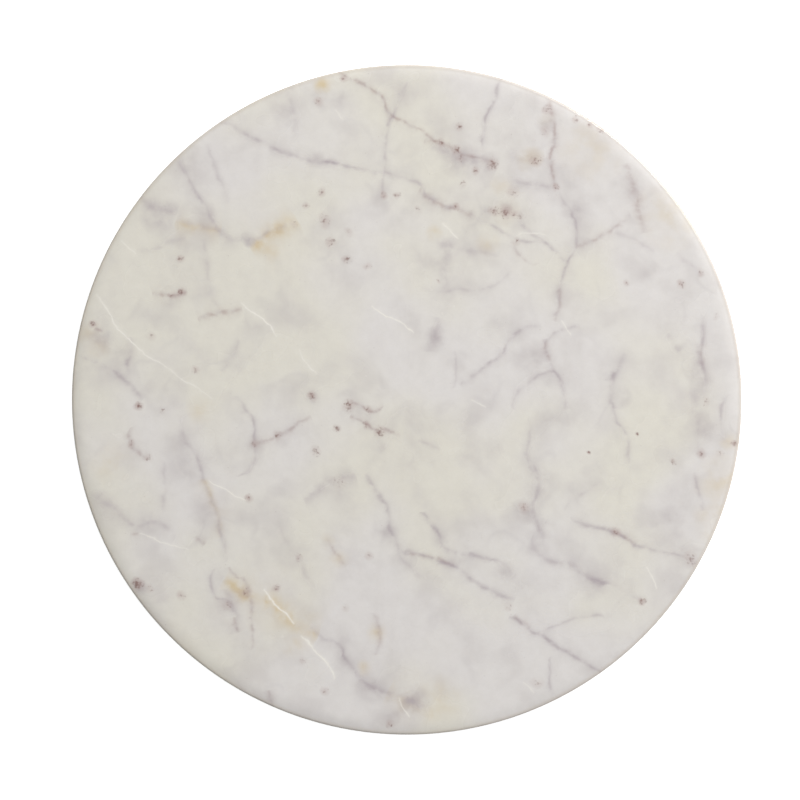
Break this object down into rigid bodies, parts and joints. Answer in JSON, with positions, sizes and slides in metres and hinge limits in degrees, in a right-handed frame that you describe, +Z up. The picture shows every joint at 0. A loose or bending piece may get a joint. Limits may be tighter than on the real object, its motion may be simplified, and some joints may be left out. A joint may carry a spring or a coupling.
{
  "type": "lazy susan turntable",
  "caption": "Round white marble serving turntable: a polished slab with an eased edge that spins freely on a steel ball bearing fixed to a smaller marble base with rubber feet.",
  "frame": {"origin": "table level, on the axis that the slab turns about", "axes": "+Z up along the turning axis, +Y towards the top of the slab's pattern, away from the access hole"},
  "size_m": [0.305, 0.305, 0.0379],
  "materials": {
    "marble_slab": "polished, veined in grey, cream and rust",
    "marble_base": "polished face, honed underside, lightly veined",
    "galvanised_steel": "spangled galvanised sheet",
    "bearing_steel": "polished balls with a film of grease",
    "zinc_plated_steel": "bright zinc plate",
    "nylon_cage": "moulded, natural",
    "nylon_anchor": "moulded, grey white",
    "rubber": "moulded, matt"
  },
  "bodies": {
    "base": {"base_disc": "marble_base", "lower_race_plate": "galvanised_steel", "foot_1": "rubber", "foot_2": "rubber", "foot_3": "rubber", "foot_4": "rubber", "base_screw_1": "zinc_plated_steel", "base_screw_2": "zinc_plated_steel", "base_screw_3": "zinc_plated_steel", "base_screw_4": "zinc_plated_steel", "base_anchor_1": "nylon_anchor", "base_anchor_2": "nylon_anchor", "base_anchor_3": "nylon_anchor", "base_anchor_4": "nylon_anchor"},
    "slab": {"marble_top": "marble_slab", "upper_race_plate": "galvanised_steel", "top_screw_1": "zinc_plated_steel", "top_screw_2": "zinc_plated_steel", "top_screw_3": "zinc_plated_steel", "top_screw_4": "zinc_plated_steel", "top_anchor_1": "nylon_anchor", "top_anchor_2": "nylon_anchor", "top_anchor_3": "nylon_anchor", "top_anchor_4": "nylon_anchor"},
    "cage": {"ball_cage": "nylon_cage", "ball_1": "bearing_steel", "ball_2": "bearing_steel", "ball_3": "bearing_steel", "ball_4": "bearing_steel", "ball_5": "bearing_steel", "ball_6": "bearing_steel", "ball_7": "bearing_steel", "ball_8": "bearing_steel", "ball_9": "bearing_steel", "ball_10": "bearing_steel", "ball_11": "bearing_steel", "ball_12": "bearing_steel", "ball_13": "bearing_steel", "ball_14": "bearing_steel", "ball_15": "bearing_steel", "ball_16": "bearing_steel", "ball_17": "bearing_steel", "ball_18": "bearing_steel", "ball_19": "bearing_steel", "ball_20": "bearing_steel"}
  },
  "joints": [
    {"name": "slab_spin", "type": "hinge", "parent": "base", "child": "slab", "pos_m": [0, 0, 0.0189], "axis": [0, 0, 1], "continuous": true},
    {"name": "cage_orbit", "type": "hinge", "parent": "base", "child": "cage", "pos_m": [0, 0, 0.0189], "axis": [0, 0, 1], "continuous": true}
  ],
  "couplings": [
    {"joint": "cage_orbit", "follows": "slab_spin", "ratio": 0.5}
  ]
}
